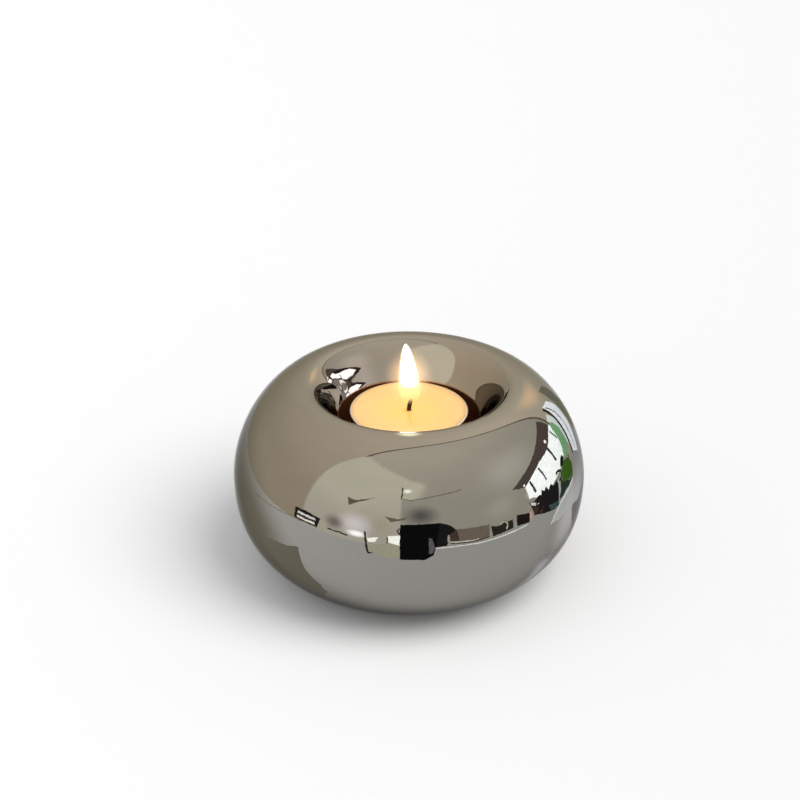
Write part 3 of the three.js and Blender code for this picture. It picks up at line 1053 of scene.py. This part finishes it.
def plain_walls(t, view, x, elevation):
    """Two walls that meet in a dark line overhead."""
    low = t.mix(t.rise(x, -0.8, 0.6), seen_in_silver(133, 123, 104), seen_in_silver(158, 149, 131))
    high = t.mix(t.rise(x, -0.5, 0.4), seen_in_silver(150, 139, 120), seen_in_silver(164, 153, 134))
    back = t.mix(t.rise(elevation, 5.0, 70.0), low, high)
    dim, pale = seen_in_silver(134, 130, 118), seen_in_silver(153, 145, 130)
    front = t.mix(t.rise(elevation, 15.0, 80.0), dim, pale)
    across_corner = t.node("VectorMath", {"operation": "DOT_PRODUCT"})
    t.put(across_corner.inputs[0], view)
    t.put(across_corner.inputs[1], ACROSS_CORNER)
    side = across_corner.outputs["Value"]
    tone = t.mix(t.rise(side, -0.004, 0.004), front, back)
    return t.mix(t.between(side, -0.024, 0.0, 0.006), tone, seen_in_silver(82, 70, 57))


def pale_wall(t, azimuth, elevation, wander, tone):
    """A paler wall in front on the left, with an arched top, and a recess that slants off its right."""
    turn = t.math("ADD", azimuth, -PALE_WALL_MIDDLE)
    arch = t.all_of(turn, turn, PALE_WALL_ARCH)
    top = t.math("SUBTRACT", PALE_WALL_TOP, arch)
    below_top = t.rise(t.math("SUBTRACT", t.math("ADD", top, wander), elevation), -3.0, 3.0)
    pale = t.all_of(t.between(azimuth, *PALE_WALL_SIDES, 1.2), below_top)
    slanting = t.math("SUBTRACT", t.math("MULTIPLY", elevation, 0.5), azimuth)
    recess = t.all_of(
        t.rise(azimuth, -6.0, -5.0),
        t.rise(slanting, 4.0, 14.0),
        t.rise(elevation, 30.5, 31.5),
        below_top,
    )
    shade = t.rise(t.math("ADD", elevation, wander), 0.0, 40.0)
    pale_tone = t.mix(shade, seen_in_silver(156, 150, 136), seen_in_silver(168, 163, 145))
    return t.mix(t.math("MAXIMUM", pale, recess), tone, pale_tone)


def room(t):
    """The walls with their soft patches. Only mirrors and the camera see them: other surfaces take an
    even daylight."""
    view = t.node("TexCoord").outputs["Generated"]
    x, y, z = t.split(view)
    azimuth = t.math("DEGREES", t.math("ARCTAN2", x, t.math("MULTIPLY", y, -1.0)))
    elevation = t.math("DEGREES", t.math("ARCSINE", z))
    wander = t.blend(t.noise(view, 3.0, 3.0), -3.0, 3.0)
    tone = pale_wall(t, azimuth, elevation, wander, plain_walls(t, view, x, elevation))
    for across, up, width, height, amount, colour in SPOTS:
        ring = t.radius(
            t.math("DIVIDE", t.math("SUBTRACT", azimuth, across), width),
            t.math("DIVIDE", t.math("SUBTRACT", elevation, up), height),
        )
        cover = t.math("MULTIPLY", t.fall(ring, 0.0, 1.0), amount)
        tone = t.mix(cover, tone, seen_in_silver(*colour))
    mottle = t.blend(t.noise(view, 2.2, 4.0), 0.9, 1.1)
    walls = t.node("Background", Color=tone, Strength=mottle).outputs[0]
    even = t.node("Background", Color=DAYLIGHT, Strength=1.0).outputs[0]
    path = t.node("LightPath").outputs
    seen = t.math("MAXIMUM", path["Is Camera Ray"], path["Is Glossy Ray"])
    seen = t.math("MAXIMUM", seen, path["Is Transmission Ray"])
    t.finish("World", t.fade(seen, even, walls))


def mirror_card(name, points, faces, paint):
    """A sheet that only mirrors show."""
    card = mesh_object(name, points, faces, None, [material(name, paint)])
    card.visible_camera = False
    card.visible_diffuse = False
    card.visible_shadow = False
    return card


def towards(azimuth, elevation):
    """The direction, 1 long."""
    a, e = math.radians(azimuth), math.radians(elevation)
    return Vector((math.sin(a) * math.cos(e), -math.cos(a) * math.cos(e), math.sin(e)))


def mirrored(azimuth, elevation, away):
    """The point that the camera sees in the outside of the ball in that direction, at a level
    distance from the place on the ball where it shows."""
    ray = towards(azimuth, elevation)
    seen_from = Vector(CAMERA_PLACE) / MM
    place = Vector((0, 0, WAIST_HEIGHT))
    for _ in range(4):  # each round starts from a better place on the ball
        normal = ((seen_from - place).normalized() + ray).normalized()
        turn = math.atan2(normal.x, -normal.y)
        middle, rise, power = crest_radius, BODY_HEIGHT - WAIST_HEIGHT, SHOULDER_POWER
        if normal.z < 0:
            middle, rise, power = FOOT_RADIUS, WAIST_HEIGHT, BELLY_POWER
        reach = BALL_RADIUS - middle
        steep = abs(normal.z) / math.hypot(normal.x, normal.y)
        along = math.atan((rise / reach * steep) ** (1 / (2 - 2 / power)))
        radius = middle + reach * math.cos(along) ** (2 / power)
        height = math.copysign(rise * math.sin(along) ** (2 / power), normal.z)
        upwards = WAIST_HEIGHT + PAD_THICKNESS + height
        place = Vector((radius * math.sin(turn), -radius * math.cos(turn), upwards))
    return place + ray * (away / math.cos(math.radians(elevation)))


def distance_of(azimuth, stands):
    """How far away a thing is that meets the table at this elevation."""
    if not stands:
        return FAR
    start = mirrored(azimuth, stands, 0)
    return (start.z - CARD_FOOT) / math.tan(math.radians(-stands))


def seen_card(name, stands, colour, outline, nearer):
    """A card with an uneven tone that only mirrors show. A nearer one hides those behind it."""
    away = distance_of(outline[0][0], stands) * (1 - CARD_SPACING * nearer)
    flat = bmesh.new()
    face = flat.faces.new([flat.verts.new((*corner, 0)) for corner in outline])
    bmesh.ops.triangulate(flat, faces=[face])
    for _ in range(5):
        wide = [edge for edge in flat.edges if edge.calc_length() > CARD_FACET]
        bmesh.ops.subdivide_edges(flat, edges=wide, cuts=1)
    points = []
    for corner in flat.verts:
        ragged = noise.noise_vector(corner.co * 0.6) * CARD_RAGGED
        points.append(mirrored(corner.co.x + ragged.x, corner.co.y + ragged.y, away))
    flat.verts.index_update()
    faces = [[corner.index for corner in face.verts] for face in flat.faces]
    flat.free()

    mirror_card(name, points, faces, lit_card(colour, CARD_MOTTLE / away))


def lit_card(colour, grain, nearest=0):
    """An uneven light that the silver shows as this screen colour. Silver that is closer than nearest
    shows it only in a mirror image of a mirror image."""

    def paint(t):
        light = seen_in_silver(*colour)
        uneven = t.noise(t.place(), grain, 3.0)
        tone = t.mix(uneven, tuple(c * 0.5 for c in light), tuple(c * 1.5 for c in light))
        path = t.node("LightPath").outputs
        far_enough = t.math("GREATER_THAN", path["Ray Length"], nearest * MM)
        mirrored_twice = t.math("GREATER_THAN", path["Ray Depth"], 1.5)
        shown = t.math("MAXIMUM", far_enough, mirrored_twice)
        t.finish("Material", t.fade(shown, t.clear(), t.glow(tone)))

    return paint


def bowl_card(name, colour, outline, nearer):
    """A card over the right of the bowl, upright and facing the bowl's left."""
    points = [(OVER_BOWL - 0.1 * nearer, back, up) for back, up in outline]
    mirror_card(name, points, [list(range(len(points)))], lit_card(colour, 0.3, ACROSS_BOWL))


def lip_glow():
    """The glare of the flame on the front of the lip: a soft oval behind the flame, which faces the
    front and can't be seen from behind. It goes with the candle."""
    middle = Vector(GLARE_MIDDLE)
    steps = 48
    points = []
    for i in range(steps):
        angle = 2 * math.pi * i / steps
        points.append(middle + Vector((GLARE_WIDTH * math.cos(angle), 0, GLARE_HEIGHT * math.sin(angle))))

    def paint(t):
        x, y, z = t.split(t.place())
        up = t.math("DIVIDE", t.math("SUBTRACT", z, middle.z), GLARE_HEIGHT)
        ring = t.radius(t.math("DIVIDE", x, GLARE_WIDTH), up)
        front = t.math("SUBTRACT", 1.0, t.node("NewGeometry").outputs["Backfacing"])
        cover = t.math("MULTIPLY", t.fall(ring, 0.2, 1.0), front)
        t.finish("Material", t.fade(cover, t.clear(), t.glow(seen_in_silver(*GLARE_COLOUR))))

    card = mirror_card("lip_glow", points, [list(range(steps))], paint)
    if card.data.polygons[0].normal.y > 0:
        card.data.flip_normals()
    card.parent = frame["bodies"]["candle"]


def along_path(path, width):
    """The outline of a line of even width."""
    left, right = [], []
    for i, (azimuth, elevation) in enumerate(path):
        step = Vector(path[min(i + 1, len(path) - 1)]) - Vector(path[max(i - 1, 0)])
        out = Vector((-step.y, step.x)).normalized() * width / 2
        left.append((azimuth + out.x, elevation + out.y))
        right.append((azimuth - out.x, elevation - out.y))
    return left + right[::-1]


def seen_glow(name, colour, middle, half_width, half_height):
    """A soft oval patch that only mirrors show."""
    away = distance_of(middle[0], middle[1] - half_height) * 0.9
    steps, rings = 32, 6

    def corner(ring, i):
        return 1 + (ring - 1) * steps + i % steps if ring else 0

    points, fades, faces = [mirrored(*middle, away)], [1.0], []
    for ring in range(1, rings + 1):
        share = ring / rings
        for i in range(steps):
            angle = 2 * math.pi * i / steps
            azimuth = middle[0] + half_width * share * math.cos(angle)
            points.append(mirrored(azimuth, middle[1] + half_height * share * math.sin(angle), away))
            fades.append(1 - share)
            corners = [corner(ring - 1, i), corner(ring, i), corner(ring, i + 1), corner(ring - 1, i + 1)]
            faces.append(list(dict.fromkeys(corners)))

    def paint(t):
        fade = t.node("Attribute", {"attribute_name": "fade"}).outputs["Fac"]
        t.finish("Material", t.fade(t.rise(fade, 0.0, 0.8), t.clear(), t.glow(seen_in_silver(*colour))))

    card = mirror_card(name, points, faces, paint)
    card.data.attributes.new("fade", "FLOAT", "POINT").data.foreach_set("value", fades)


def surroundings():
    world = bpy.data.worlds.new("room")
    bpy.context.scene.world = world
    room(Tree(world))
    for nearer, (name, stands, colour, outline) in enumerate(THINGS):
        seen_card(name, stands, colour, outline, nearer)
    for nearer, (name, stands, colour, width, path) in enumerate(LINES):
        seen_card(name, stands, colour, along_path(path, width), len(THINGS) + nearer)
    for nearer, (name, colour, outline) in enumerate(BOWL_THINGS):
        bowl_card(name, colour, outline, nearer)
    for glow in GLOWS:
        seen_glow(*glow)


def floor():
    """A pale sheet that reaches far enough to be the background too."""

    def paint(t):
        x, y, z = t.split(t.place())
        far = t.rise(t.radius(x, y), TABLE_EDGE, TABLE_EDGE + 8)
        mirrors = t.node("LightPath").outputs["Is Glossy Ray"]
        sheet = t.node("BsdfDiffuse", Color=FLOOR_COLOUR, Roughness=0.5).outputs[0]
        t.finish("Material", t.fade(t.math("MULTIPLY", far, mirrors), sheet, t.clear()))

    signs = [(-1, -1), (1, -1), (1, 1), (-1, 1)]
    corners = [(FLOOR_REACH * x, FLOOR_REACH * y, 0) for x, y in signs]
    mesh_object("floor", corners, [[0, 1, 2, 3]], None, [material("floor", paint)])


def sunlight(name, azimuth, elevation, spread, strength, colour):
    """An even light from one side that doesn't show in the ball. Spread makes its shadows soft."""
    placed = unseen_lamp(name, "SUN", strength, colour)
    placed.data.angle = math.radians(spread)
    placed.location = towards(azimuth, elevation)
    placed.rotation_euler = placed.location.to_track_quat("Z", "Y").to_euler()


def camera():
    """The photograph's place and angle: from the front, looking down at the ball."""
    data = bpy.data.cameras.new("camera")
    data.lens = CAMERA_LENS
    data.sensor_width = SENSOR_WIDTH
    data.clip_start = 0.01
    placed = place_in_scene("camera", data)
    placed.location = CAMERA_PLACE
    placed.rotation_euler = (math.radians(90 - CAMERA_DOWN), 0, math.radians(CAMERA_LEFT))
    bpy.context.scene.camera = placed


noise.seed_set(EDGE_SEED)
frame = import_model()

camera()
floor()
surroundings()
sunlight("key", azimuth=62, elevation=55, spread=45, strength=1.7, colour=(1.0, 0.99, 0.97))
sunlight("fill", azimuth=-50, elevation=60, spread=60, strength=0.35, colour=(0.94, 0.97, 1.0))
bpy.context.scene.view_settings.view_transform = "Standard"

casting(material("silver_glaze", silver_glaze), material("bare_clay", bare_clay))
grey_felt = material("felt", felt)
for i, pad_name in enumerate(PAD_NAMES):
    foot_pad(pad_name, i * QUARTER, grey_felt)
cup(material("foil", foil))
wax_puck(material("lit_wax", lit_wax))
wick_holder(material("tinned_steel", tinned_steel))
cotton_wick(material("burnt_wick", burnt_wick))
flame()
lip_glow()
candle_light()
